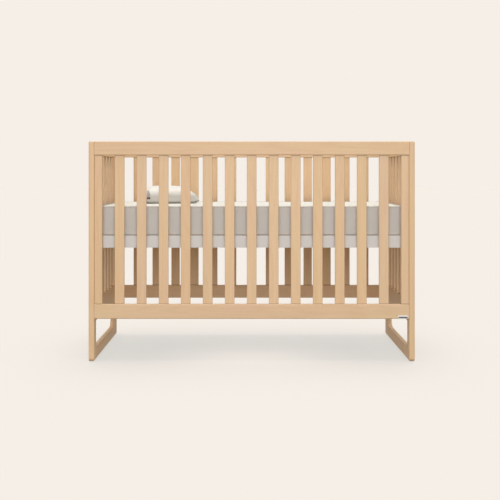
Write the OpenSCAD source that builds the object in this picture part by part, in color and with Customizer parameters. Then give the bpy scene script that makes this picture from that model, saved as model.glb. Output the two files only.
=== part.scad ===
// Full-size baby crib: two end frames on sled feet, two slatted side panels, a steel mattress
// support that bolts on at several heights, a foam mattress and a small pillow.
// Millimetres, +Z up, front towards -Y. The origin is on the floor under the crib's middle.

/* [Overall] */
// Inside length, between the end frames
inner_l = 1330; // [1310:2:1350]
// Inside width, between the side panels
inner_w = 711; // [700:1:730]
// Height above the floor
crib_h = 930; // [900:5:1000]

/* [End frames] */
// Thickness of the end frames
end_t = 24; // [22:1:30]
// Depth of each post
post_w = 54; // [52:1:60]
// Underside of the cross rail above the floor
cross_rail_z = 165; // [160:1:170]
// Height of the cross rail's section
cross_rail_h = 85; // [76:1:90]
// Height of the sled rail that lies on the floor
sled_h = 48; // [42:1:50]
// Radius of the hollow corner between sled rail and post
cove_r = 50; // [30:1:60]
// Slats in each end frame
end_slat_n = 6; // [5:1:7]

/* [Side panels] */
// Thickness of the panels' rails
panel_t = 24; // [23:1:28]
// How far the panels stand behind the posts' faces
panel_set = 1; // [0.5:0.5:3]
// Height of the top rails' section
top_rail_h = 58; // [56:1:70]
// Underside of the bottom rails above the floor
low_rail_z = 180; // [178:1:190]
// Height of the bottom rails' section
low_rail_h = 62; // [56:1:66]
// Width of the stile at each end of a panel
stile_w = 33; // [32:1:42]
// Slats in each panel
slat_n = 13; // [12:1:13]
// Width of a slat
slat_w = 41; // [38:1:44]
// Thickness of a slat
slat_t = 13; // [12:1:15]

/* [Mattress and support] */
// Top of the support in its highest place
support_top = 531; // [520:1:540]
// Height of the support's steel rails
support_h = 52; // [50:1:56]
// Heights at which the support bolts on
level_n = 4; // [2:1:4]
// Distance from one of those heights to the next
level_step = 95; // [80:1:95]
// Slats across the support
support_slat_n = 11; // [9:1:12]
// Length of the mattress
mattress_l = 1311; // [1300:1:1318]
// Width of the mattress
mattress_w = 692; // [685:1:696]
// Thickness of the mattress
mattress_h = 124; // [100:1:150]

/* [Pillow] */
// Length of the pillow
pillow_l = 272; // [240:1:300]
// Width of the pillow
pillow_w = 236; // [210:1:260]
// Thickness of the pillow at its crown
pillow_h = 80; // [70:1:90]
// Turn of the pillow on the mattress, in degrees
pillow_turn = 12; // [-20:1:20]

/* [Hidden] */
$fn = 48;
cut = 1;            // how far a cutting shape reaches past the face it opens
slack = 0.3;        // air between pieces that move apart

// Places that follow from the driving sizes
crib_l = inner_l + 2 * end_t;
crib_w = inner_w + 2 * (panel_t + panel_set);
end_x = (inner_l + end_t) / 2;        // middle plane of an end frame
post_y = crib_w / 2 - post_w;         // the posts' faces that look at each other
panel_y = (inner_w + panel_t) / 2;    // middle plane of a side panel
top_rail_z = crib_h - top_rail_h;
low_rail_top = low_rail_z + low_rail_h;
cross_rail_top = cross_rail_z + cross_rail_h;
slat_gap = (inner_l - 2 * stile_w - slat_n * slat_w) / (slat_n + 1);
end_slat_gap = (2 * post_y - end_slat_n * slat_w) / (end_slat_n + 1);

// Eased edges
post_r = 4;         // along the posts' outer edges
joint_r = 1.2;      // along the posts' edges that meet the end rails
top_r = 5;          // across the top of an end frame
foot_r = 8;         // along the underside of a sled
toe_r = 14;         // at the toe and the heel of a sled
rail_r = 4;
slat_r = 3;

// Mortise and tenon joints
tenon_side = 5;     // shoulder at each side of a slat's tenon
tenon_face = 2;     // shoulder at its front and back
tenon_l = 12;
stile_t = panel_t - 3;
stile_side = 6;
stile_face = 5;
stile_tenon_l = 14;
end_tenon_t = 12;
end_tenon_l = 20;
cove_lip = 1;       // thickness left at the top of the sled's hollow corner

// Bolts and barrel nuts that hold the panels to the end frames
bolt_d = 6;
bolt_l = 58;
bolt_hole_d = 6.6;
bolt_head_d = 10;
bolt_head_h = 6;
bolt_sink = 7;      // depth of the counterbore for the head
bolt_sink_d = 11.5;
hex_d = 5.8;        // across the corners of the key socket
hex_l = 3;
nut_in = 31;        // barrel nut from the end of the rail
nut_d = 10;
nut_l = 16;
nut_bore_d = 6.1;
nut_slot = 1.4;
dowel_d = 8;
dowel_post = 14;    // length of dowel in the post
dowel_rail = 26;    // length of dowel in the rail
dowel_off = 17;     // dowel from its bolt

// Threaded inserts for the mattress support
insert_d = 10;
insert_l = 13;
insert_bore_d = 5.2;
insert_y = crib_w / 2 - 44.5;

// Steel mattress support
support_x = inner_l / 2 - 0.8;
support_y = inner_w / 2 - 6.5;
steel_t = 2;
ledge_w = 20;       // the ledge that the support's slats lie on
ledge_drop = 10;
lip_w = 8;          // the turned-in lip along the bottom edge
bracket_t = 3;
bracket_leg = 34;
bracket_h = 34;
bracket_z = support_top - support_h + 3;
level_z = bracket_z + bracket_h / 2;  // the support's bolts
bolt_clear_d = 6.4;
button_d = 11;
button_h = 4;
button_hex_l = 2.5; // depth of the key socket in a support bolt
support_slat_w = 68;
support_slat_r = 2;
support_slat_span = 1200;

// Blank plate at the right-hand end of the front panel
plate_l = 42;
plate_h = 14;
plate_t = 1.4;
plate_in = 0.6;     // depth let into the rail
plate_rim = 2;
plate_dish = 0.5;
plate_x = inner_l / 2 - 25;
plate_z = low_rail_z + 8.5;

// Soft pieces
mattress_r = 22;
pillow_x = -380;
pillow_y = 95;
pillow_plan_r = 50;
pillow_top_r = 38;
pillow_base_r = 26;

beech = [0.86, 0.71, 0.55];
beech_end = [0.83, 0.68, 0.51];
steel_grey = [0.80, 0.78, 0.76];
zinc = [0.62, 0.63, 0.65];
brass = [0.80, 0.66, 0.36];

// A slat's name, with two digits
function slat_name(side, i) = str(side, "_slat_", i < 10 ? "0" : "", i);

// ---- Outlines and helpers ----

// Rectangle [0, w] x [0, h], with corner radius a along its low edge and b along its high edge
module eased(w, h, a, b) {
    translate([a, 0]) square([w - 2 * a, a]);
    translate([0, a]) square([w, h - a - b]);
    translate([b, h - b]) square([w - 2 * b, b]);
    for (x = [a, w - a]) translate([x, a]) circle(a);
    for (x = [b, w - b]) translate([x, h - b]) circle(b);
}

// Extrudes an outline drawn in Y and Z along X, and one drawn in X and Z along Y
module along_x(l) {
    rotate([90, 0, 90]) linear_extrude(l, center = true) children();
}
module along_y(l) {
    rotate([90, 0, 0]) linear_extrude(l, center = true) children();
}

// Block centred on x and y, from z up by l, or down by -l
module block(x, y, z, w, t, l) {
    translate([x - w / 2, y - t / 2, min(z, z + l)]) cube([w, t, abs(l)]);
}

// Round bar or bore from x0 to x1
module rod_x(x0, x1, y, z, d) {
    translate([x0, y, z]) rotate([0, 90, 0]) cylinder(h = x1 - x0, d = d);
}

// Copies what is drawn at the right-hand front corner to another side
module to_side(left, back) {
    mirror([left ? 1 : 0, 0, 0]) mirror([0, back ? 1 : 0, 0]) children();
}
module all_corners() {
    for (left = [false, true], back = [false, true]) to_side(left, back) children();
}

// Heights of the panel bolts, and of the dowel beside each
bolt_zs = [low_rail_z + low_rail_h / 2, crib_h - top_rail_h / 2];
dowel_zs = [bolt_zs[0] - dowel_off, bolt_zs[1] + dowel_off];

// ---- End frames ----

// An end frame seen from the front, and from the side
module end_front_outline() {
    translate([inner_l / 2, 0]) eased(end_t, crib_h, foot_r, top_r);
}
module end_side_outline() {
    translate([-crib_w / 2, 0]) eased(crib_w, crib_h, toe_r, top_r);
}

// Tenons of an end rail, or the mortises for them: z is the tenon's underside
module end_tenons(z, h, extra = 0) {
    for (s = [-1, 1]) {
        y = s * (post_y + end_tenon_l / 2);
        block(end_x, y - s * extra / 2, z, end_tenon_t, end_tenon_l + extra, h);
    }
}
module top_tenons(extra = 0) { end_tenons(top_rail_z + 8, top_rail_h - 20, extra); }
module cross_tenons(extra = 0) { end_tenons(cross_rail_z + 6, 32, extra); }
module sled_tenons(extra = 0) { end_tenons(8, sled_h - 16, extra); }

// Post at the right-hand front corner
module post() {
    color(beech_end) difference() {
        intersection() {
            translate([inner_l / 2, -crib_w / 2, 0]) linear_extrude(crib_h)
                eased(end_t, post_w, post_r, joint_r);
            along_y(crib_w + 2 * cut) end_front_outline();
            along_x(crib_l + 2 * cut) end_side_outline();
        }
        top_tenons(cut);
        cross_tenons(cut);
        sled_tenons(cut);
        for (z = bolt_zs) {
            rod_x(inner_l / 2 - cut, crib_l / 2 + cut, -panel_y, z, bolt_hole_d);
            rod_x(crib_l / 2 - bolt_sink, crib_l / 2 + cut, -panel_y, z, bolt_sink_d);
        }
        for (z = dowel_zs)
            rod_x(inner_l / 2 - cut, inner_l / 2 + dowel_post, -panel_y, z, dowel_d);
        for (i = [0:level_n - 1])
            rod_x(inner_l / 2 - cut, inner_l / 2 + insert_l, -insert_y,
                level_z - i * level_step, insert_d);
    }
}

module end_top_rail() {
    color(beech_end) difference() {
        union() {
            along_y(2 * post_y) translate([inner_l / 2, top_rail_z])
                eased(end_t, top_rail_h, rail_r, top_r);
            top_tenons(cut);
        }
        end_slat_places() block(end_x, 0, top_rail_z - cut, slat_w - 2 * tenon_side,
            slat_t - 2 * tenon_face, tenon_l + cut);
    }
}

module end_cross_rail() {
    color(beech_end) difference() {
        union() {
            along_y(2 * post_y) translate([inner_l / 2, cross_rail_z])
                eased(end_t, cross_rail_h, rail_r, rail_r);
            cross_tenons(cut);
        }
        end_slat_places() block(end_x, 0, cross_rail_top + cut, slat_w - 2 * tenon_side,
            slat_t - 2 * tenon_face, -tenon_l - cut);
    }
}

// Removes the hollow corner between sled rail and post, and eases its edges like the rail's
module cove_cutter() {
    rotate([0, 90, 0]) rotate_extrude() difference() {
        translate([0, -cut]) square([cove_r + rail_r, end_t + 2 * cut]);
        translate([cove_r, end_t]) rotate([0, 0, -90]) eased(end_t, 3 * rail_r, rail_r, rail_r);
    }
}
// The sled rail turns up into each post with a hollow corner
module end_sled_rail() {
    cove_y = post_y - cove_r - cove_lip;
    color(beech_end) union() {
        along_y(2 * cove_y) translate([inner_l / 2, 0]) eased(end_t, sled_h, foot_r, rail_r);
        intersection() {
            for (s = [-1, 1]) difference() {
                block(end_x, s * (cove_y + post_y) / 2, 0, end_t, cove_r + cove_lip,
                    sled_h + cove_r);
                translate([inner_l / 2, s * cove_y, sled_h + cove_r]) cove_cutter();
            }
            along_y(2 * post_y) end_front_outline();
        }
        sled_tenons(cut);
    }
}

// A slat or stile standing at x = 0, y = 0 from z0 to z1, with a tenon at each end
module upright(z0, z1, w, t, r, side, face, tenon) {
    translate([-w / 2, -t / 2, z0]) linear_extrude(z1 - z0) eased(w, t, r, r);
    block(0, 0, z0 - tenon, w - 2 * side, t - 2 * face, tenon + cut);
    block(0, 0, z1 - cut, w - 2 * side, t - 2 * face, tenon + cut);
}

// Turns what is drawn at y = 0 in an end frame's middle plane to each end slat's place
module end_slat_places() {
    for (i = [0:end_slat_n - 1])
        translate([end_x, -post_y + end_slat_gap + slat_w / 2 + i * (slat_w + end_slat_gap), 0])
            rotate([0, 0, 90]) translate([-end_x, 0, 0]) children();
}
module end_slats() {
    color(beech_end) end_slat_places() translate([end_x, 0, 0])
        upright(cross_rail_top, top_rail_z, slat_w, slat_t, slat_r,
            tenon_side, tenon_face, tenon_l);
}

// ---- Side panels, drawn at the front ----

slat_x0 = -inner_l / 2 + stile_w + slat_gap + slat_w / 2;
stile_x = (inner_l - stile_w) / 2;

// Mortises opened from height z, upwards when dir is 1 and downwards when it is -1
module panel_mortises(z, dir) {
    for (i = [0:slat_n - 1])
        block(slat_x0 + i * (slat_w + slat_gap), -panel_y, z - dir * cut,
            slat_w - 2 * tenon_side, slat_t - 2 * tenon_face, dir * (tenon_l + cut));
    for (s = [-1, 1])
        block(s * stile_x, -panel_y, z - dir * cut, stile_w - 2 * stile_side,
            stile_t - 2 * stile_face, dir * (stile_tenon_l + cut));
}

// Bores for the bolt, barrel nut and dowel at each end of a rail
module rail_end_bores(bolt_z, dowel_z) {
    for (left = [false, true]) to_side(left, false) {
        rod_x(crib_l / 2 - bolt_sink - bolt_l - cut, inner_l / 2 + cut, -panel_y, bolt_z,
            bolt_hole_d);
        rod_x(inner_l / 2 - dowel_rail, inner_l / 2 + cut, -panel_y, dowel_z, dowel_d);
        translate([inner_l / 2 - nut_in, -panel_y - nut_l / 2, bolt_z]) rotate([-90, 0, 0])
            cylinder(h = nut_l / 2 + panel_t / 2 + cut, d = nut_d);
    }
}

module panel_rail(z, h) {
    translate([0, -panel_y - panel_t / 2, z]) along_x(inner_l)
        eased(panel_t, h, rail_r, rail_r);
}
module panel_top_rail() {
    color(beech) difference() {
        panel_rail(top_rail_z, top_rail_h);
        panel_mortises(top_rail_z, 1);
        rail_end_bores(bolt_zs[1], dowel_zs[1]);
    }
}
module panel_bottom_rail(plated) {
    color(beech) difference() {
        panel_rail(low_rail_z, low_rail_h);
        panel_mortises(low_rail_top, -1);
        rail_end_bores(bolt_zs[0], dowel_zs[0]);
        if (plated) plate_blank(-panel_y - panel_t / 2 - cut, plate_in + cut);
    }
}
module panel_stile(s) {
    color(beech) translate([s * stile_x, -panel_y, 0])
        upright(low_rail_top, top_rail_z, stile_w, stile_t, slat_r,
            stile_side, stile_face, stile_tenon_l);
}
module panel_slat(i) {
    color(beech) translate([slat_x0 + (i - 1) * (slat_w + slat_gap), -panel_y, 0])
        upright(low_rail_top, top_rail_z, slat_w, slat_t, slat_r,
            tenon_side, tenon_face, tenon_l);
}

// The plate's outline, from depth y inwards by t
module plate_blank(y, t, margin = 0) {
    l = plate_l - 2 * margin;
    h = plate_h - 2 * margin;
    translate([plate_x - l / 2, y + t, plate_z - h / 2]) rotate([90, 0, 0])
        linear_extrude(t) eased(l, h, 1.5, 1.5);
}
module blank_plate() {
    face_y = -panel_y - panel_t / 2 + plate_in - plate_t;
    color("silver") difference() {
        plate_blank(face_y, plate_t);
        plate_blank(face_y - cut, plate_dish + cut, plate_rim);
    }
}

// ---- Fasteners ----

module panel_bolts() {
    head_x = crib_l / 2 - bolt_sink;
    color(zinc) all_corners() for (z = bolt_zs) difference() {
        union() {
            rod_x(head_x - bolt_l, head_x + cut, -panel_y, z, bolt_d);
            rod_x(head_x, head_x + bolt_head_h, -panel_y, z, bolt_head_d);
        }
        translate([head_x + bolt_head_h - hex_l, -panel_y, z]) rotate([0, 90, 0])
            cylinder(h = hex_l + cut, d = hex_d, $fn = 6);
    }
}
module barrel_nuts() {
    nut_x = inner_l / 2 - nut_in;
    color(zinc) all_corners() for (z = bolt_zs) difference() {
        translate([nut_x, -panel_y - nut_l / 2, z]) rotate([-90, 0, 0])
            cylinder(h = nut_l, d = nut_d);
        rod_x(nut_x - nut_d, nut_x + nut_d, -panel_y, z, nut_bore_d);
        block(nut_x, -panel_y + nut_l / 2, z - nut_slot / 2, nut_d, 2 * nut_slot, nut_slot);
    }
}
module dowels() {
    color(beech) all_corners() for (z = dowel_zs)
        rod_x(inner_l / 2 - dowel_rail, inner_l / 2 + dowel_post, -panel_y, z, dowel_d);
}
module support_inserts() {
    color(brass) all_corners() for (i = [0:level_n - 1]) {
        z = level_z - i * level_step;
        difference() {
            rod_x(inner_l / 2, inner_l / 2 + insert_l, -insert_y, z, insert_d);
            rod_x(inner_l / 2 - cut, inner_l / 2 + insert_l + cut, -insert_y, z,
                insert_bore_d);
        }
    }
}

// ---- Mattress support ----

// Folded steel rail along X with its web at y = 0, turned in towards +Y. The web is web_l
// long, and the ledge and lip are fold_l long so that they stop at the neighbouring rail.
module steel_rail(web_l, fold_l) {
    z = support_top - support_h;
    translate([0, 0, z]) {
        along_x(web_l) square([steel_t, support_h]);
        along_x(fold_l) {
            translate([0, support_h - ledge_drop - steel_t])
                square([steel_t + ledge_w, steel_t]);
            square([steel_t + lip_w, steel_t]);
        }
    }
}
module support_long_rail() {
    color(steel_grey) translate([0, -support_y, 0])
        steel_rail(2 * support_x, 2 * (support_x - steel_t));
}
module support_bolt_bores() {
    for (back = [false, true]) to_side(false, back)
        rod_x(inner_l / 2 - bracket_leg, inner_l / 2 + cut, -insert_y, level_z, bolt_clear_d);
}
module support_end_rail() {
    color(steel_grey) difference() {
        translate([support_x, 0, 0]) rotate([0, 0, 90])
            steel_rail(2 * (support_y - steel_t), 2 * (support_y - steel_t - ledge_w));
        support_bolt_bores();
    }
}
module support_brackets() {
    corner_x = support_x - steel_t;
    corner_y = support_y - steel_t;
    color(zinc) all_corners() difference() {
        translate([corner_x - bracket_leg, -corner_y, bracket_z]) union() {
            cube([bracket_leg, bracket_t, bracket_h]);
            translate([bracket_leg - bracket_t, 0, 0])
                cube([bracket_t, bracket_leg, bracket_h]);
        }
        support_bolt_bores();
    }
}
// The bolts are drawn as far as the post's face, where their threads enter the inserts
module support_bolts() {
    seat_x = support_x - steel_t - bracket_t;
    color(zinc) all_corners() difference() {
        union() {
            rod_x(seat_x - cut, inner_l / 2 - slack, -insert_y, level_z, bolt_d);
            rod_x(seat_x - button_h, seat_x, -insert_y, level_z, button_d);
        }
        translate([seat_x - button_h - cut, -insert_y, level_z]) rotate([0, 90, 0])
            cylinder(h = button_hex_l + cut, d = hex_d, $fn = 6);
    }
}
module support_slats() {
    pitch = support_slat_span / (support_slat_n - 1);
    color(beech) for (i = [0:support_slat_n - 1])
        translate([-support_slat_span / 2 + i * pitch - support_slat_w / 2, 0,
            support_top - ledge_drop])
            along_y(2 * (support_y - steel_t) - 1)
                eased(support_slat_w, ledge_drop, support_slat_r, support_slat_r);
}

// ---- Soft pieces ----

module mattress() {
    color("whitesmoke") translate([-mattress_l / 2, -mattress_w / 2, support_top + slack])
        linear_extrude(mattress_h) eased(mattress_l, mattress_w, mattress_r, mattress_r);
}
module pillow() {
    z = support_top + mattress_h + 2 * slack;
    color("white") translate([pillow_x, pillow_y, z]) rotate([0, 0, pillow_turn])
        intersection() {
            translate([-pillow_l / 2, -pillow_w / 2, 0]) linear_extrude(pillow_h)
                eased(pillow_l, pillow_w, pillow_plan_r, pillow_plan_r);
            along_y(pillow_w) translate([-pillow_l / 2, 0])
                eased(pillow_l, pillow_h, pillow_base_r, pillow_top_r);
            along_x(pillow_l) translate([-pillow_w / 2, 0])
                eased(pillow_w, pillow_h, pillow_base_r, pillow_top_r);
        }
}

// ---- The crib ----

for (left = [false, true]) {
    side = left ? "left" : "right";
    to_side(left, false) post();
    to_side(left, true) post();
    to_side(left, false) end_top_rail();
    to_side(left, false) end_cross_rail();
    to_side(left, false) end_sled_rail();
    to_side(left, false) end_slats();
    to_side(left, false) support_end_rail();
}
for (back = [false, true]) {
    side = back ? "back" : "front";
    to_side(false, back) panel_top_rail();
    to_side(false, back) panel_bottom_rail(!back);
    to_side(false, back) panel_stile(-1);
    to_side(false, back) panel_stile(1);
    for (i = [1:slat_n])
        to_side(false, back) panel_slat(i);
}
support_long_rail();  // support_front_rail
to_side(false, true) support_long_rail();  // support_rear_rail
support_slats();
support_brackets();
support_bolts();
support_inserts();
panel_bolts();
barrel_nuts();
dowels();
blank_plate();
mattress();
pillow();
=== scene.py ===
"""A full-size baby crib: beech frame, steel mattress support, white mattress and small pillow.

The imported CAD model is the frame. Its wood and metal nodes keep their shape and get materials here.
The mattress and the pillow are sewn and stuffed here, and stand for their plain CAD solids.
All lengths are metres.
"""

import math

import bmesh
import bpy
import numpy as np
from mathutils import Matrix, Vector


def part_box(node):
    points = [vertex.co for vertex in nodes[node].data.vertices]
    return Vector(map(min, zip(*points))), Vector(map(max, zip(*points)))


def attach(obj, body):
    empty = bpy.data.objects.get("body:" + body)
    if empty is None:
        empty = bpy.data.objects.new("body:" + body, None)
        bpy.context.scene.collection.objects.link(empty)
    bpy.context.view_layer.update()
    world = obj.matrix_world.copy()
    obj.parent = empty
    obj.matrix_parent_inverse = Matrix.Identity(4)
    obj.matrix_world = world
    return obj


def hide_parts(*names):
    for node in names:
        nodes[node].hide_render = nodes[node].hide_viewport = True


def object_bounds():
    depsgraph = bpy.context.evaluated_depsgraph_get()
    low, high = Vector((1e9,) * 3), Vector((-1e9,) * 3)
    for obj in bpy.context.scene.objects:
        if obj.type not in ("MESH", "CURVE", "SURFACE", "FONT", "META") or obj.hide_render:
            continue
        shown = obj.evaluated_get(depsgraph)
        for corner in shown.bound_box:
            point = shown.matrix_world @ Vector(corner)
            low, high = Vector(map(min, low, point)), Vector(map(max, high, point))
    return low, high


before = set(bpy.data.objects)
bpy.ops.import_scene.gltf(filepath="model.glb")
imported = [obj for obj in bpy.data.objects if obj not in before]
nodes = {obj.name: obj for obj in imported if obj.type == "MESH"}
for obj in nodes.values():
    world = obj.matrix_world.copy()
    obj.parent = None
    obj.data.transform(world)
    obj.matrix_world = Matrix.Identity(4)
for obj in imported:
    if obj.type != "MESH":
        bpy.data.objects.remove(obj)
cad_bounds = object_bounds()
MM = 0.001


# ---------------------------------------------------------------- camera, light and floor

BACKGROUND = (0.922, 0.863, 0.799)     # warm off-white, linear
CAMERA_BACK = 4.40                     # from the crib's front to the camera
CAMERA_HEIGHT = 0.805
CAMERA_SIDE = -0.019
LENS = 75.02
SHIFT = (0.0056, -0.158)               # frames the crib without tilting the camera


def make_camera():
    data = bpy.data.cameras.new("camera")
    data.lens, data.sensor_width = LENS, 36
    data.shift_x, data.shift_y = SHIFT
    camera = bpy.data.objects.new("camera", data)
    camera.location = (CAMERA_SIDE, cad_bounds[0].y - CAMERA_BACK, CAMERA_HEIGHT)
    camera.rotation_euler = (math.radians(90), 0, 0)
    bpy.context.scene.collection.objects.link(camera)
    bpy.context.scene.camera = camera


def make_sun(name, strength, angle, azimuth, elevation, colour):
    """A soft sun whose light comes from that azimuth (0 is the front) and elevation."""
    data = bpy.data.lights.new(name, "SUN")
    data.energy, data.angle = strength, math.radians(angle)
    data.color = colour
    sun = bpy.data.objects.new(name, data)
    a, e = math.radians(azimuth), math.radians(elevation)
    source = Vector((math.sin(a) * math.cos(e), -math.cos(a) * math.cos(e), math.sin(e)))
    sun.rotation_euler = source.to_track_quat("Z", "Y").to_euler()
    bpy.context.scene.collection.objects.link(sun)
    return sun


def make_softbox(name, power, size, target, distance, elevation, colour):
    """A wide lamp aimed at a target from the front, at that distance and elevation."""
    data = bpy.data.lights.new(name, "AREA")
    data.shape, data.size, data.size_y = "RECTANGLE", *size
    data.energy, data.color = power, colour
    lamp = bpy.data.objects.new(name, data)
    e = math.radians(elevation)
    toward = Vector((0, -math.cos(e), math.sin(e)))
    lamp.location = Vector(target) + distance * toward
    lamp.rotation_euler = toward.to_track_quat("Z", "Y").to_euler()
    lamp.visible_camera = False
    bpy.context.scene.collection.objects.link(lamp)
    return lamp


SKY = {"ground": (0.312, 0.272, 0.205), "horizon": (0.370, 0.361, 0.348),
       "zenith": (0.620, 0.605, 0.583)}


def make_sky():
    """Studio light from all round, strongest from overhead."""
    world = bpy.data.worlds.new("studio")
    world.use_nodes = True
    tree = world.node_tree
    direction = tree.nodes.new("ShaderNodeTexCoord").outputs["Generated"]
    height = tree.nodes.new("ShaderNodeSeparateXYZ")
    level = tree.nodes.new("ShaderNodeMapRange")
    level.inputs["From Min"].default_value = -1.0
    ramp = tree.nodes.new("ShaderNodeValToRGB")
    ramp.color_ramp.elements.new(0.5)
    for element, name in zip(ramp.color_ramp.elements, ("ground", "horizon", "zenith")):
        element.color = (*SKY[name], 1)
    tree.links.new(direction, height.inputs[0])
    tree.links.new(height.outputs["Z"], level.inputs["Value"])
    tree.links.new(level.outputs[0], ramp.inputs[0])
    tree.links.new(ramp.outputs[0], tree.nodes["Background"].inputs["Color"])
    bpy.context.scene.world = world


def emission(tree, colour):
    glow = tree.nodes.new("ShaderNodeEmission")
    glow.inputs["Color"].default_value = (*colour, 1)
    return glow


def stage_piece(name, bm, material):
    """Part of the stage. The camera sees it, and it neither lights nor shades the crib."""
    mesh = bpy.data.meshes.new(name)
    bm.to_mesh(mesh)
    bm.free()
    mesh.materials.append(material)
    piece = bpy.data.objects.new(name, mesh)
    bpy.context.scene.collection.objects.link(piece)
    piece.visible_diffuse = piece.visible_glossy = piece.visible_shadow = False
    return piece


def link_lights(lights, piece, state):
    """Keeps lights off one piece of the stage (EXCLUDE) or shines them on it alone (INCLUDE)."""
    linked = bpy.data.collections.new(f"{state.lower()}_the_{piece.name}")
    linked.objects.link(piece)
    linked.collection_objects[0].light_linking.link_state = state
    for light in lights:
        light.light_linking.receiver_collection = linked


OVERHEAD = (1.0, 0.985, 0.95)
SIDE = (1.0, 0.93, 0.77)
STAGE_RADIUS = 60.0
FLOOR_GLOW = 0.780                     # share of the floor's light that no shadow takes
FLOOR_GLOW_COLOUR = (0.7777, 0.7748, 0.7480)
FLOOR_ALBEDO = (0.862, 0.723, 0.619)


def floor_lights():
    """Light the floor alone. They shape the crib's soft shadow and leave the crib as it is."""
    under_front = (0, cad_bounds[0].y + 0.11, 0)
    middle = make_softbox("floor_middle", 1.0, (0.45, 0.12), under_front, 0.32, 90, OVERHEAD)
    middle.data.use_shadow = False
    return [middle,
            make_sun("floor_top", 1.90, 50, 0, 90, OVERHEAD),
            make_sun("floor_front", 0.35, 34, 0, 72, OVERHEAD),
            make_sun("floor_back", 1.39, 34, 180, 66, OVERHEAD)]


def crib_lights():
    """Light the crib and not the floor."""
    middle = (0, cad_bounds[0].y, cad_bounds[1].z / 2)
    return [make_sun("key", 1.42, 32, 0, 84, OVERHEAD),
            make_softbox("front", 104, (3.4, 2.0), middle, 4.8, 14, (1.0, 1.0, 1.0)),
            make_sun("left_fill", 0.58, 60, -90, 11, SIDE),
            make_sun("right_fill", 0.58, 60, 90, 11, SIDE)]


def make_stage():
    bpy.context.scene.view_settings.view_transform = "Standard"
    make_sky()
    floor_only, crib_only = floor_lights(), crib_lights()

    floor = bpy.data.materials.new("floor")
    floor.use_nodes = True
    tree = floor.node_tree
    tree.nodes.clear()
    out = tree.nodes.new("ShaderNodeOutputMaterial")
    mix = tree.nodes.new("ShaderNodeMixShader")
    diffuse = tree.nodes.new("ShaderNodeBsdfDiffuse")
    diffuse.inputs["Color"].default_value = (*FLOOR_ALBEDO, 1)
    mix.inputs["Fac"].default_value = FLOOR_GLOW
    tree.links.new(diffuse.outputs[0], mix.inputs[1])
    tree.links.new(emission(tree, FLOOR_GLOW_COLOUR).outputs[0], mix.inputs[2])
    tree.links.new(mix.outputs[0], out.inputs["Surface"])
    bm = bmesh.new()
    bmesh.ops.create_grid(bm, x_segments=1, y_segments=1, size=0.7 * STAGE_RADIUS)
    plane = stage_piece("floor", bm, floor)
    link_lights(crib_only, plane, "EXCLUDE")
    link_lights(floor_only, plane, "INCLUDE")

    backdrop = bpy.data.materials.new("backdrop")
    backdrop.use_nodes = True
    tree = backdrop.node_tree
    tree.nodes.clear()
    out = tree.nodes.new("ShaderNodeOutputMaterial")
    tree.links.new(emission(tree, BACKGROUND).outputs[0], out.inputs["Surface"])
    bm = bmesh.new()
    bmesh.ops.create_uvsphere(bm, u_segments=48, v_segments=24, radius=STAGE_RADIUS)
    stage_piece("backdrop", bm, backdrop)


# ---------------------------------------------------------------- materials

class Graph:
    """A material's node tree, with short calls for the nodes used here."""

    def __init__(self, name):
        self.material = bpy.data.materials.new(name)
        self.material.use_nodes = True
        self.tree = self.material.node_tree
        self.shader = self.tree.nodes["Principled BSDF"]

    def node(self, kind, inputs=None, **settings):
        made = self.tree.nodes.new("ShaderNode" + kind)
        for key, value in settings.items():
            setattr(made, key, value)
        for key, value in (inputs or {}).items():
            self.put(made.inputs[key], value)
        return made

    def put(self, socket, value):
        """Links a node's first output or an output to the socket, or sets its value."""
        if isinstance(value, bpy.types.Node):
            value = value.outputs[0]
        if isinstance(value, bpy.types.NodeSocket):
            self.tree.links.new(value, socket)
        else:
            socket.default_value = value

    def math(self, operation, a, b=0.0, clamp=False):
        return self.node("Math", {0: a, 1: b}, operation=operation, use_clamp=clamp)

    def remap(self, value, low, high, to_low, to_high):
        return self.node("MapRange", {"Value": value, "From Min": low, "From Max": high,
                                      "To Min": to_low, "To Max": to_high})

    def mix(self, factor, a, b, blend="MIX"):
        made = self.tree.nodes.new("ShaderNodeMix")
        made.data_type, made.blend_type = "RGBA", blend
        self.put(made.inputs[0], factor)
        self.put(made.inputs[6], a)
        self.put(made.inputs[7], b)
        return made.outputs[2]

    def scaled(self, coordinates, scale):
        return self.node("VectorMath", {0: coordinates, 1: scale}, operation="MULTIPLY")

    def noise(self, coordinates, detail=2.0, roughness=0.5, distortion=0.0):
        return self.node("TexNoise", {"Vector": coordinates, "Scale": 1.0, "Detail": detail,
                                      "Roughness": roughness, "Distortion": distortion})

    def surface(self, **values):
        """Sets the shader's sockets, whose names are given with _ for a space."""
        for key, value in values.items():
            self.put(self.shader.inputs[key.replace("_", " ")], value)

    def bump(self, height, distance, strength=1.0):
        made = self.node("Bump", {"Height": height, "Distance": distance, "Strength": strength})
        self.put(self.shader.inputs["Normal"], made)


def along(axis, along_scale, across_scale):
    """A scale for wood coordinates, finer across the grain than along it."""
    return tuple(along_scale if i == axis else across_scale for i in range(3))


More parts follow.
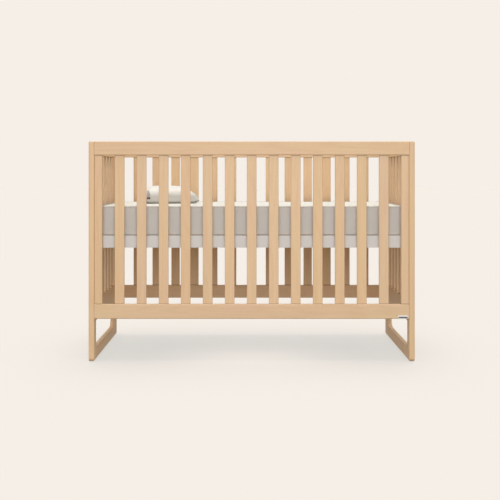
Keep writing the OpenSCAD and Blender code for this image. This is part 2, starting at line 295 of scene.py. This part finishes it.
def wood(name, axis, light, dark, figure=1.0, joints=(), corner=None):
    """Lacquered beech with its grain along axis 0, 1 or 2. Each board has its own figure.
    Painted shade lies in a dark line at each given joint height, where the board meets a rail
    and the rail shades it, and painted shade darkens the board's narrow sides towards the
    given corner height."""
    g = Graph(name)
    here = g.node("TexCoord")
    board = g.node("ObjectInfo").outputs["Random"]
    shift = g.node("CombineXYZ", {0: g.math("MULTIPLY", board, 7.3),
                                  1: g.math("MULTIPLY", board, 11.7),
                                  2: g.math("MULTIPLY", board, 5.9)})
    place = g.node("VectorMath", {0: here.outputs["Object"], 1: shift}, operation="ADD").outputs[0]

    # Growth rings: the contour lines of a smooth field stretched along the grain
    field = g.noise(g.scaled(place, along(axis, 0.9, 11.0)), detail=1.5, roughness=0.4)
    rings = g.math("SINE", g.math("MULTIPLY", field.outputs["Fac"], 105.0))
    rings = g.math("POWER", g.remap(rings, -1.0, 1.0, 0.0, 1.0), 2.2)
    # Broad light and dark streaks, fine fibres and the small dark rays of beech
    streaks = g.noise(g.scaled(place, along(axis, 1.6, 75.0)), detail=3.0, roughness=0.6)
    fibres = g.noise(g.scaled(place, along(axis, 14.0, 900.0)), detail=3.0, roughness=0.65)
    cells = g.node("TexVoronoi", {"Vector": g.scaled(place, along(axis, 95.0, 620.0)),
                                  "Scale": 1.0})
    rays = g.remap(cells.outputs["Distance"], 0.16, 0.30, 1.0, 0.0)
    cloud = g.noise(g.scaled(place, along(axis, 2.5, 14.0)), detail=2.0)

    figure_mix = g.math("MULTIPLY", rings, 0.20 * figure)
    streak_mix = g.math("MULTIPLY", g.remap(streaks.outputs["Fac"], 0.32, 0.70, 0.0, 1.0),
                        0.32 * figure)
    colour = g.mix(g.math("ADD", figure_mix, streak_mix, clamp=True), light, dark)
    fibre_tone = g.remap(fibres.outputs["Fac"], 0.3, 0.7, 0.955, 1.03)
    colour = g.mix(1.0, colour, g.node("CombineColor", {0: fibre_tone, 1: fibre_tone,
                                                        2: fibre_tone}), "MULTIPLY")
    colour = g.mix(g.math("MULTIPLY", rays, 0.20), colour, tuple(0.62 * c for c in dark[:3])
                   + (1,))

    # End grain is a little darker; the eased edges get painted shade, darker than the flat faces
    facing = g.node("VectorMath", {0: here.outputs["Normal"]}, operation="ABSOLUTE")
    facing = g.node("SeparateXYZ", {0: facing})
    flatness = g.math("MAXIMUM", facing.outputs[0],
                      g.math("MAXIMUM", facing.outputs[1], facing.outputs[2]))
    shade = g.math("MULTIPLY", g.remap(flatness, 0.72, 0.97, 0.84, 1.0),
                   g.remap(facing.outputs[axis], 0.75, 0.95, 1.0, 0.84))
    height = g.node("SeparateXYZ", {0: here.outputs["Object"]}).outputs["Z"]
    # Painted shade: a dark line where each board meets a rail and lies in its shade
    for joint in joints:
        gap = g.math("ABSOLUTE", g.math("SUBTRACT", height, joint))
        shade = g.math("MULTIPLY", shade, g.remap(gap, 1.5 * MM, 5 * MM, 0.62, 1.0))
    # Painted shade: the narrow sides darken towards the rail above them
    if corner is not None:
        corner_shade = g.remap(g.math("ABSOLUTE", g.math("SUBTRACT", height, corner)),
                       10 * MM, 60 * MM, 0.35, 0.0)
        shade = g.math("MULTIPLY", shade, g.math(
            "SUBTRACT", 1.0, g.math("MULTIPLY", corner_shade, facing.outputs[1])))
    colour = g.mix(1.0, colour, g.node("CombineColor", {0: shade, 1: shade, 2: shade}),
                   "MULTIPLY")
    tone = g.node("HueSaturation", {
        "Hue": g.remap(cloud.outputs["Fac"], 0.3, 0.7, 0.494, 0.506),
        "Saturation": g.remap(board, 0.0, 1.0, 1.04, 0.95),
        "Value": g.remap(g.math("FRACT", g.math("MULTIPLY", board, 7.0)), 0.0, 1.0, 0.97, 1.02),
        "Color": colour})
    g.surface(Base_Color=tone, Specular_IOR_Level=0.4, Coat_Weight=0.12, Coat_Roughness=0.35,
              Roughness=g.remap(fibres.outputs["Fac"], 0.3, 0.7, 0.42, 0.55))
    relief = g.math("SUBTRACT", g.math("MULTIPLY", fibres.outputs["Fac"], 0.6),
                    g.math("MULTIPLY", rays, 0.5))
    g.bump(relief, 0.00006, 0.6 * figure)
    return g.material


BEECH_LIGHT = (0.80, 0.555, 0.340, 1)
BEECH_DARK = (0.69, 0.450, 0.250, 1)


def dress(node, material):
    """Puts a material on a CAD node, whose mesh stays as it is."""
    mesh = nodes[node].data
    for i in range(len(mesh.materials)):
        mesh.materials[i] = material
    if not mesh.materials:
        mesh.materials.append(material)


def finish_wood():
    rail_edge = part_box("front_top_rail")[0].z
    panel_joints = (rail_edge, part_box("front_bottom_rail")[1].z)
    end_joints = (rail_edge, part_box("left_cross_rail")[1].z)
    post = wood("beech_post", 2, BEECH_LIGHT, BEECH_DARK)
    upright = wood("beech_upright", 2, BEECH_LIGHT, BEECH_DARK, joints=panel_joints)
    end_slat = wood("beech_end_slat", 2, BEECH_LIGHT, BEECH_DARK, figure=0.15, joints=end_joints,
                    corner=rail_edge)
    lengthwise = wood("beech_lengthwise", 0, BEECH_LIGHT, BEECH_DARK)
    crosswise = wood("beech_crosswise", 1, BEECH_LIGHT, BEECH_DARK)
    for name in nodes:
        if "post" in name:
            dress(name, post)
        elif "end_slats" in name:
            dress(name, end_slat)
        elif "_slat_" in name or "stile" in name:
            dress(name, upright)
        elif name.startswith(("front_", "back_")) and "rail" in name:
            dress(name, lengthwise)
        elif name.startswith(("left_", "right_")) and "rail" in name:
            dress(name, crosswise)
    dress("support_slats", crosswise)
    dress("dowels", lengthwise)


def fabric(name, colour, thread, side_shade=None, side_shade_z=None, fade=0.0):
    """Plain-woven cloth. Between the two given heights it takes the given darker colour as painted
    shade on its sides, which runs out over the height of fade above them."""
    g = Graph(name)
    place = g.node("TexCoord").outputs["Object"]
    # Threads: crossed waves that show on faces turned any way
    turns = 2 * math.pi / thread
    waves = []
    for direction in ((1, 1, 1), (1, -1, -1), (-1, 1, -1)):
        travel = g.node("VectorMath", {0: place, 1: tuple(turns * d / 2 for d in direction)},
                        operation="DOT_PRODUCT").outputs["Value"]
        waves.append(g.math("SINE", travel))
    weave = g.math("ADD", g.math("MULTIPLY", waves[0], waves[1]),
                   g.math("MULTIPLY", waves[1], waves[2]))
    slubs = g.noise(g.scaled(place, (420.0,) * 3), detail=3.0, roughness=0.6)
    cloud = g.noise(g.scaled(place, (9.0,) * 3), detail=3.0)

    base = (*colour, 1)
    # Painted shade: a darker colour on the sides between the two heights
    if side_shade is not None:
        low, high = side_shade_z
        height = g.node("SeparateXYZ", {0: place}).outputs["Z"]
        side_shade_mask = g.math("MULTIPLY", g.math("GREATER_THAN", height, low),
                        g.remap(height, high, high + max(fade, 0.01 * MM), 1.0, 0.0))
        base = g.mix(side_shade_mask, base, (*side_shade, 1))
    tone = g.math("ADD", g.remap(weave, -1.0, 1.0, -0.035, 0.02),
                  g.remap(g.math("ADD", slubs.outputs["Fac"], cloud.outputs["Fac"]),
                          0.7, 1.3, 0.97, 1.02))
    shade = g.node("CombineColor", {0: tone, 1: tone, 2: tone})
    g.surface(Base_Color=g.mix(1.0, base, shade, "MULTIPLY"), Sheen_Weight=0.15,
              Sheen_Roughness=0.5, Specular_IOR_Level=0.25,
              Roughness=g.remap(slubs.outputs["Fac"], 0.3, 0.7, 0.82, 0.93))
    relief = g.math("ADD", g.math("MULTIPLY", weave, 0.5),
                    g.math("MULTIPLY", slubs.outputs["Fac"], 1.2))
    g.bump(relief, 0.00025, 0.5)
    return g.material


def painted_steel():
    g = Graph("light_grey_powder_coat")
    place = g.node("TexCoord").outputs["Object"]
    grains = g.noise(g.scaled(place, (1400.0,) * 3), detail=2.0)
    cloud = g.noise(g.scaled(place, (6.0,) * 3), detail=2.0)
    colour = g.mix(cloud.outputs["Fac"], (0.66, 0.64, 0.62, 1), (0.72, 0.70, 0.68, 1))
    g.surface(Base_Color=colour, Roughness=g.remap(grains.outputs["Fac"], 0.3, 0.7, 0.42, 0.55))
    g.bump(grains, 0.0001, 0.35)
    return g.material


def bare_metal(name, colour, roughness):
    g = Graph(name)
    place = g.node("TexCoord").outputs["Object"]
    scratches = g.noise(g.scaled(place, (900.0, 900.0, 60.0)), detail=3.0)
    g.surface(Base_Color=colour, Metallic=1.0,
              Roughness=g.remap(scratches.outputs["Fac"], 0.3, 0.7, roughness, roughness + 0.15))
    g.bump(scratches, 0.00005, 0.4)
    return g.material


def finish_metal():
    coat = painted_steel()
    zinc = bare_metal("bright_zinc", (0.60, 0.61, 0.64, 1), 0.28)
    for side in ("front", "rear", "left", "right"):
        dress(f"support_{side}_rail", coat)
    for name in ("support_brackets", "support_bolts", "panel_bolts", "barrel_nuts"):
        dress(name, zinc)
    dress("support_inserts", bare_metal("brass", (0.72, 0.53, 0.24, 1), 0.30))
    dress("blank_plate", bare_metal("brushed_steel", (0.84, 0.83, 0.81, 1), 0.50))
    make_plate_inlay()


def enamel(name, colour):
    g = Graph(name)
    place = g.node("TexCoord").outputs["Object"]
    speckle = g.noise(g.scaled(place, (1800.0,) * 3), detail=2.0)
    lighter = tuple(1.6 * c for c in colour)
    g.surface(Base_Color=g.mix(speckle.outputs["Fac"], (*colour, 1), (*lighter, 1)),
              Roughness=g.remap(speckle.outputs["Fac"], 0.3, 0.7, 0.35, 0.5))
    g.bump(speckle, 0.00005, 0.3)
    return g.material


PLATE_RIM = 1.8 * MM
PLATE_INLAY = 5.8 * MM                 # height of the dark enamel in the plate's dish
PLATE_DISH = 0.5 * MM


def make_plate_inlay():
    """A blank band of dark enamel that fills the lower part of the plate's dish."""
    low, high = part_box("blank_plate")
    inlay = slab("plate_inlay",
                 Vector((low.x + PLATE_RIM, low.y + 0.1 * MM, low.z + PLATE_RIM)),
                 Vector((high.x - PLATE_RIM, low.y + PLATE_DISH + 0.2 * MM,
                         low.z + PLATE_RIM + PLATE_INLAY)), 0.1 * MM, 0.1 * MM)
    inlay.data.materials.append(enamel("dark_enamel", (0.055, 0.062, 0.058)))
    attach(inlay, "frame")


# ---------------------------------------------------------------- soft goods

def mesh_object(name, points, faces):
    mesh = bpy.data.meshes.new(name)
    mesh.from_pydata([tuple(p) for p in points], [], faces)
    mesh.update()
    piece = bpy.data.objects.new(name, mesh)
    bpy.context.scene.collection.objects.link(piece)
    return piece


def points_of(piece):
    points = np.empty(len(piece.data.vertices) * 3)
    piece.data.vertices.foreach_get("co", points)
    return points.reshape(-1, 3)


def set_points(piece, points):
    piece.data.vertices.foreach_set("co", np.asarray(points, float).ravel())
    piece.data.update()


def apply_modifiers(piece):
    """Makes the piece's evaluated mesh its own."""
    graph = bpy.context.evaluated_depsgraph_get()
    mesh = bpy.data.meshes.new_from_object(piece.evaluated_get(graph))
    piece.modifiers.clear()
    piece.data = mesh


def stuff(piece, pressure, slack_cloth, reach, stiffness=15.0, frames=20):
    """Swells a closed cloth cover by simulation. No point moves further than reach."""
    start = points_of(piece)
    cloth = piece.modifiers.new("cloth", "CLOTH")
    cloth.settings.use_pressure = True
    cloth.settings.uniform_pressure_force = pressure
    cloth.settings.shrink_min = -slack_cloth
    cloth.settings.tension_stiffness = cloth.settings.compression_stiffness = stiffness
    cloth.settings.shear_stiffness = stiffness / 3
    cloth.settings.bending_stiffness = 0.05
    cloth.settings.mass = 0.25
    cloth.settings.effector_weights.gravity = 0
    cloth.collision_settings.use_self_collision = False
    cloth.collision_settings.use_collision = False
    cloth.point_cache.frame_end = frames
    for step in range(1, frames + 1):
        bpy.context.scene.frame_set(step)
    apply_modifiers(piece)
    bpy.context.scene.frame_set(1)
    moved = points_of(piece) - start
    length = np.linalg.norm(moved, axis=1, keepdims=True)
    set_points(piece, start + moved * (reach * np.tanh(length / reach) / np.maximum(length, 1e-9)))


def smooth_finish(piece, levels=1):
    piece.data.shade_smooth()
    subdivision = piece.modifiers.new("subdivision", "SUBSURF")
    subdivision.levels = subdivision.render_levels = levels
    apply_modifiers(piece)


def tube(name, path, radius, sides=10):
    """A closed round cord along a closed path, for a piped seam."""
    path = np.asarray(path, float)
    count = len(path)
    points = []
    for i in range(count):
        ahead = Vector(path[(i + 1) % count] - path[i - 1]).normalized()
        side = ahead.cross(Vector((0, 0, 1))).normalized()
        up = side.cross(ahead)
        for j in range(sides):
            angle = 2 * math.pi * j / sides
            points.append(Vector(path[i]) + radius * (math.cos(angle) * side
                                                      + math.sin(angle) * up))
    faces = [(i * sides + j, i * sides + (j + 1) % sides,
              (i + 1) % count * sides + (j + 1) % sides, (i + 1) % count * sides + j)
             for i in range(count) for j in range(sides)]
    piece = mesh_object(name, points, faces)
    piece.data.shade_smooth()
    return piece


def rounded_outline(half_x, half_y, radius, step):
    """Points at even steps round a rectangle with round corners, seen from above."""
    corners = [(1, -1, -90), (1, 1, 0), (-1, 1, 90), (-1, -1, 180)]
    loop = []
    for sx, sy, first in corners:
        for k in range(9):
            angle = math.radians(first + 90 * k / 8)
            loop.append((sx * (half_x - radius) + radius * math.cos(angle),
                         sy * (half_y - radius) + radius * math.sin(angle)))
    loop = np.array(loop + loop[:1])
    travel = np.concatenate([[0], np.cumsum(np.linalg.norm(np.diff(loop, axis=0), axis=1))])
    places = np.linspace(0, travel[-1], int(travel[-1] / step), endpoint=False)
    return np.stack([np.interp(places, travel, loop[:, i]) for i in range(2)], axis=1)


def slab(name, low, high, plan_radius, edge_radius):
    """A block with round corners seen from above and softer edges round its top and bottom."""
    middle, size = (low + high) / 2, high - low
    bm = bmesh.new()
    bmesh.ops.create_cube(bm, size=1,
                          matrix=Matrix.Translation(middle) @ Matrix.Diagonal((*size, 1)))
    upright = [e for e in bm.edges if abs(e.verts[0].co.z - e.verts[1].co.z) > size.z / 2]
    bmesh.ops.bevel(bm, geom=upright, offset=plan_radius, segments=6, profile=0.5,
                    affect="EDGES")
    bm.normal_update()
    flat = [e for e in bm.edges
            if sorted(abs(f.normal.z) > 0.5 for f in e.link_faces) == [False, True]]
    bmesh.ops.bevel(bm, geom=flat, offset=edge_radius, segments=4, profile=0.5, affect="EDGES")
    mesh = bpy.data.meshes.new(name)
    bm.to_mesh(mesh)
    bm.free()
    piece = bpy.data.objects.new(name, mesh)
    bpy.context.scene.collection.objects.link(piece)
    return piece


def grid_lines(low, high, edge, cell):
    """Places of a grid's lines between two ends, with one line close to each end."""
    inner = np.linspace(low + edge, high - edge, round((high - low - 2 * edge) / cell) + 1)
    return np.concatenate([[low], inner, [high]])


def grid_block(name, low, high, plan_radius, edge, cell):
    """A block of quads with round corners seen from above. The rows close to its edges keep
    them crisp when it is subdivided."""
    lines = [grid_lines(low[axis], high[axis], edge, cell) for axis in range(3)]
    last = [len(line) - 1 for line in lines]
    index, points, faces = {}, [], []

    def corner(axis, end, i, j):
        key = [0, 0, 0]
        key[axis], key[(axis + 1) % 3], key[(axis + 2) % 3] = end, i, j
        if tuple(key) not in index:
            index[tuple(key)] = len(points)
            points.append([line[k] for line, k in zip(lines, key)])
        return index[tuple(key)]

    for axis in range(3):
        for end in (0, last[axis]):
            for i in range(last[(axis + 1) % 3]):
                for j in range(last[(axis + 2) % 3]):
                    face = [corner(axis, end, i + a, j + b)
                            for a, b in ((0, 0), (1, 0), (1, 1), (0, 1))]
                    faces.append(face if end else face[::-1])

    # Each ring round the middle keeps its distance from the sides, and turns the corners
    # on an arc about the same centre
    points = np.array(points)
    middle = np.array((low + high) / 2)[:2]
    core = np.array((high - low) / 2)[:2] - plan_radius
    offset = points[:, :2] - middle
    beyond = np.clip(np.abs(offset) - core, 0, None)
    length = np.maximum(np.linalg.norm(beyond, axis=1), 1e-9)
    beyond *= (beyond.max(axis=1) / length)[:, None]
    points[:, :2] = middle + np.sign(offset) * (np.minimum(np.abs(offset), core) + beyond)
    return mesh_object(name, points, faces)


MATTRESS_COVER = (0.885, 0.895, 0.84)
# Painted shade: the white cover's sides and piping are painted grey
MATTRESS_SIDE_SHADE = (0.64, 0.615, 0.585)
MATTRESS_SWELL = 3.5 * MM              # how far the stuffing pushes the cover out
MATTRESS_CORNER = 20 * MM
MATTRESS_EDGE = 2.5 * MM
MATTRESS_CELL = 16 * MM
WELT = 1.4 * MM                        # radius of the piped seam
SEAM_PULL = 1.0 * MM                   # how far the seam draws the cover in
SEAM_REACH = 12 * MM


def near(values, place, reach):
    """1 at a place, falling smoothly to 0 at reach."""
    share = np.clip(1 - np.abs(values - place) / reach, 0, 1)
    return share * share * (3 - 2 * share)


def welt_path(low, high, z, inset):
    """The line of a piped seam round the mattress, inset from its sides."""
    outline = rounded_outline((high.x - low.x) / 2 - inset, (high.y - low.y) / 2 - inset,
                              MATTRESS_CORNER, 8 * MM)
    outline += [(low.x + high.x) / 2, (low.y + high.y) / 2]
    return np.column_stack([outline, np.full(len(outline), z)])


def draw_in_seam(points, low, high, seam_z):
    """Pulls the mattress's sides in a little along its upper seam, and keeps it in its box."""
    middle = np.array((low + high) / 2)[:2]
    half = np.array((high - low) / 2)[:2]
    from_side = half - np.abs(points[:, :2] - middle)
    inward = np.sign(points[:, :2] - middle) * (from_side < MATTRESS_CORNER)
    points[:, :2] -= SEAM_PULL * near(points[:, 2], seam_z, SEAM_REACH)[:, None] * inward
    return np.clip(points, np.array(low), np.array(high))


def make_mattress():
    """A foam mattress in a sewn white cover with a piped seam. Its sides and piping are painted
    grey as painted shade.
    """
    low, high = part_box("mattress")
    inset = Vector((MATTRESS_SWELL, MATTRESS_SWELL, MATTRESS_SWELL / 2))
    mattress = grid_block("sewn_mattress", low + inset, high - inset, MATTRESS_CORNER,
                          MATTRESS_EDGE, MATTRESS_CELL)
    stuff(mattress, pressure=4.0, slack_cloth=0.006, reach=MATTRESS_SWELL)
    seam = high.z - 1.5 * WELT
    set_points(mattress, draw_in_seam(points_of(mattress), low, high, seam))
    smooth_finish(mattress)

    # Painted shade: the sides are painted grey up to the seam
    cover = fabric("mattress_cover", MATTRESS_COVER, thread=0.9 * MM,
                   side_shade=MATTRESS_SIDE_SHADE, side_shade_z=(low.z - WELT, high.z - WELT))
    mattress.data.materials.append(cover)
    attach(mattress, "mattress")
    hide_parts("mattress")

    # Painted shade: the piping takes the sides' grey
    welt = tube("mattress_welt", welt_path(low, high, seam, WELT), WELT)
    welt.data.materials.append(fabric("mattress_piping", MATTRESS_SIDE_SHADE, thread=0.9 * MM))
    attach(welt, "mattress")


PILLOW_SIZE = Vector((0.258, 0.228, 0.076))
PILLOW_TURN = math.radians(12)
PILLOW_CELLS = (60, 52)
PILLOW_SEAM = 7 * MM                   # height of the lower seam
PILLOW_TIP_LIFT = 8 * MM               # how far the thin end's corner stands off the mattress
PILLOW_PIPING = 2.2 * MM
PILLOW_COVER = (0.88, 0.875, 0.85)
# Painted shade: grey on the pillow's lower sides
PILLOW_SIDE_SHADE = (0.60, 0.585, 0.56)
# Painted shade: a dark cord for the shadow under the pillow's edge
PILLOW_CONTACT_SHADE = (0.31, 0.29, 0.26)


def pillow_sheet(u, v, side):
    """A point of the pillow's upper sheet (side 1) or lower sheet (side -1), u and v from -1
    to 1. The pillow is blunt at its left end and thins out to the right. Its own frame has
    its middle on the mattress."""
    corner = 0.07 * (u * v) ** 4
    x = PILLOW_SIZE.x / 2 * u * (1 - 0.030 * (1 - v * v) - corner)
    y = PILLOW_SIZE.y / 2 * v * (1 - 0.035 * (1 - u * u) - corner)
    if u < 0:
        lengthwise = max(0.0, 1 - abs(u) ** 6) ** 0.4
    else:
        lengthwise = max(0.0, 1 - u ** 2.6) ** 0.9
    seam = PILLOW_SEAM + PILLOW_TIP_LIFT * max(0.0, u) ** 5
    if side > 0:
        crown = lengthwise * max(0.0, 1 - abs(v) ** 5) ** 0.4
        z = seam + (PILLOW_SIZE.z - seam) * crown
    else:
        z = seam * max(0.0, 1 - 6 * min(1 - abs(u), 1 - abs(v)))
    return x, y, z


def make_pillow():
    """A small stuffed pillow sewn from two sheets, with a piped edge and a blank woven tab. Its
    lower sides are painted grey and its piping dark, as painted shade.
    """
    low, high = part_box("pillow")
    base = low.z
    place = (Matrix.Translation(((low.x + high.x) / 2, (low.y + high.y) / 2, base))
             @ Matrix.Rotation(PILLOW_TURN, 4, "Z"))
    across, deep = PILLOW_CELLS
    index, points, faces = {}, [], []
    for side in (1, -1):
        for i in range(across + 1):
            for j in range(deep + 1):
                edge = i in (0, across) or j in (0, deep)
                if edge and side < 0:
                    index[side, i, j] = index[1, i, j]
                    continue
                index[side, i, j] = len(points)
                u = math.sin(math.pi / 2 * (2 * i / across - 1) * 0.96) / math.sin(math.pi * 0.48)
                v = math.sin(math.pi / 2 * (2 * j / deep - 1) * 0.96) / math.sin(math.pi * 0.48)
                points.append(pillow_sheet(u, v, side))
        for i in range(across):
            for j in range(deep):
                face = [index[side, i, j], index[side, i + 1, j],
                        index[side, i + 1, j + 1], index[side, i, j + 1]]
                faces.append(face if side > 0 else face[::-1])
    pillow = mesh_object("sewn_pillow", points, faces)
    pillow.data.transform(place)
    stuff(pillow, pressure=4.0, slack_cloth=0.05, reach=6 * MM)
    points = points_of(pillow)
    points[:, 2] = np.clip(points[:, 2], base, high.z)
    set_points(pillow, points)

    rim = [index[1, i, 0] for i in range(across)]
    rim += [index[1, across, j] for j in range(deep)]
    rim += [index[1, i, deep] for i in range(across, 0, -1)]
    rim += [index[1, 0, j] for j in range(deep, 0, -1)]
    seam_path = points[rim]
    smooth_finish(pillow)
    # Painted shade: the lower sides are grey, fading out upwards
    cotton = fabric("pillow_cotton", PILLOW_COVER, thread=0.6 * MM, side_shade=PILLOW_SIDE_SHADE,
                    side_shade_z=(base - 1 * MM, base + 34 * MM), fade=26 * MM)
    pillow.data.materials.append(cotton)
    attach(pillow, "pillow")
    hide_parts("pillow")

    seam_path[:, 2] = np.maximum(seam_path[:, 2] - PILLOW_SEAM / 2, base + PILLOW_PIPING / 2)
    piping = tube("pillow_piping", seam_path, PILLOW_PIPING, sides=8)
    smooth_finish(piping)
    # Painted shade: the dark cord stands for the shadow under the pillow's edge
    piping.data.materials.append(fabric("pillow_piping", PILLOW_CONTACT_SHADE, thread=0.6 * MM))
    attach(piping, "pillow")
    make_pillow_tab(pillow, low, base)


TAB_SIDE = 60 * MM                     # from the pillow's far left corner to the tab's middle
TAB_WIDTH = 14 * MM
TAB_HEIGHTS = (60 * MM, 31 * MM, 21 * MM)


def ribbon(name, centres, width, thickness):
    """A flat strip down through the points, level from side to side."""
    points, faces = [], []
    for x, y, z in centres:
        points += [(x - width / 2, y, z), (x + width / 2, y, z),
                   (x + width / 2, y + thickness, z), (x - width / 2, y + thickness, z)]
    for k in range(0, len(points) - 4, 4):
        faces += [(k + j, k + 4 + j, k + 4 + (j + 1) % 4, k + (j + 1) % 4) for j in range(4)]
    faces += [(0, 1, 2, 3), tuple(range(len(points) - 1, len(points) - 5, -1))]
    return mesh_object(name, points, faces)


def make_pillow_tab(pillow, low, base):
    """A blank woven tab that hangs from the pillow's front near its left end, with a dark
    leather tip."""
    bpy.context.view_layer.update()
    x, y = low.x + TAB_SIDE, None
    line = []
    for height in np.linspace(TAB_HEIGHTS[0], TAB_HEIGHTS[2], 15):
        hit, place, _, _ = pillow.ray_cast((x, low.y - 0.1, base + height), (0, 1, 0))
        if hit:
            y = place.y - 1.2 * MM if y is None else min(y, place.y - 1.2 * MM)
        if y is not None:
            line.append((x, y, base + height))
    tip = [p for p in line if p[2] < base + TAB_HEIGHTS[1]]
    strap = [p for p in line if p[2] >= base + TAB_HEIGHTS[1]] + tip[:1]
    for name, part, width, thickness, colour in (
            ("pillow_tab", strap, TAB_WIDTH, 1.0 * MM, (0.38, 0.365, 0.355)),
            ("pillow_tab_tip", tip, TAB_WIDTH + 1 * MM, 2.0 * MM, (0.12, 0.075, 0.06))):
        piece = ribbon(name, part, width, thickness)
        piece.data.materials.append(fabric(name, colour, thread=0.8 * MM))
        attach(piece, "pillow")


make_camera()
make_stage()
finish_wood()
finish_metal()
make_mattress()
make_pillow()
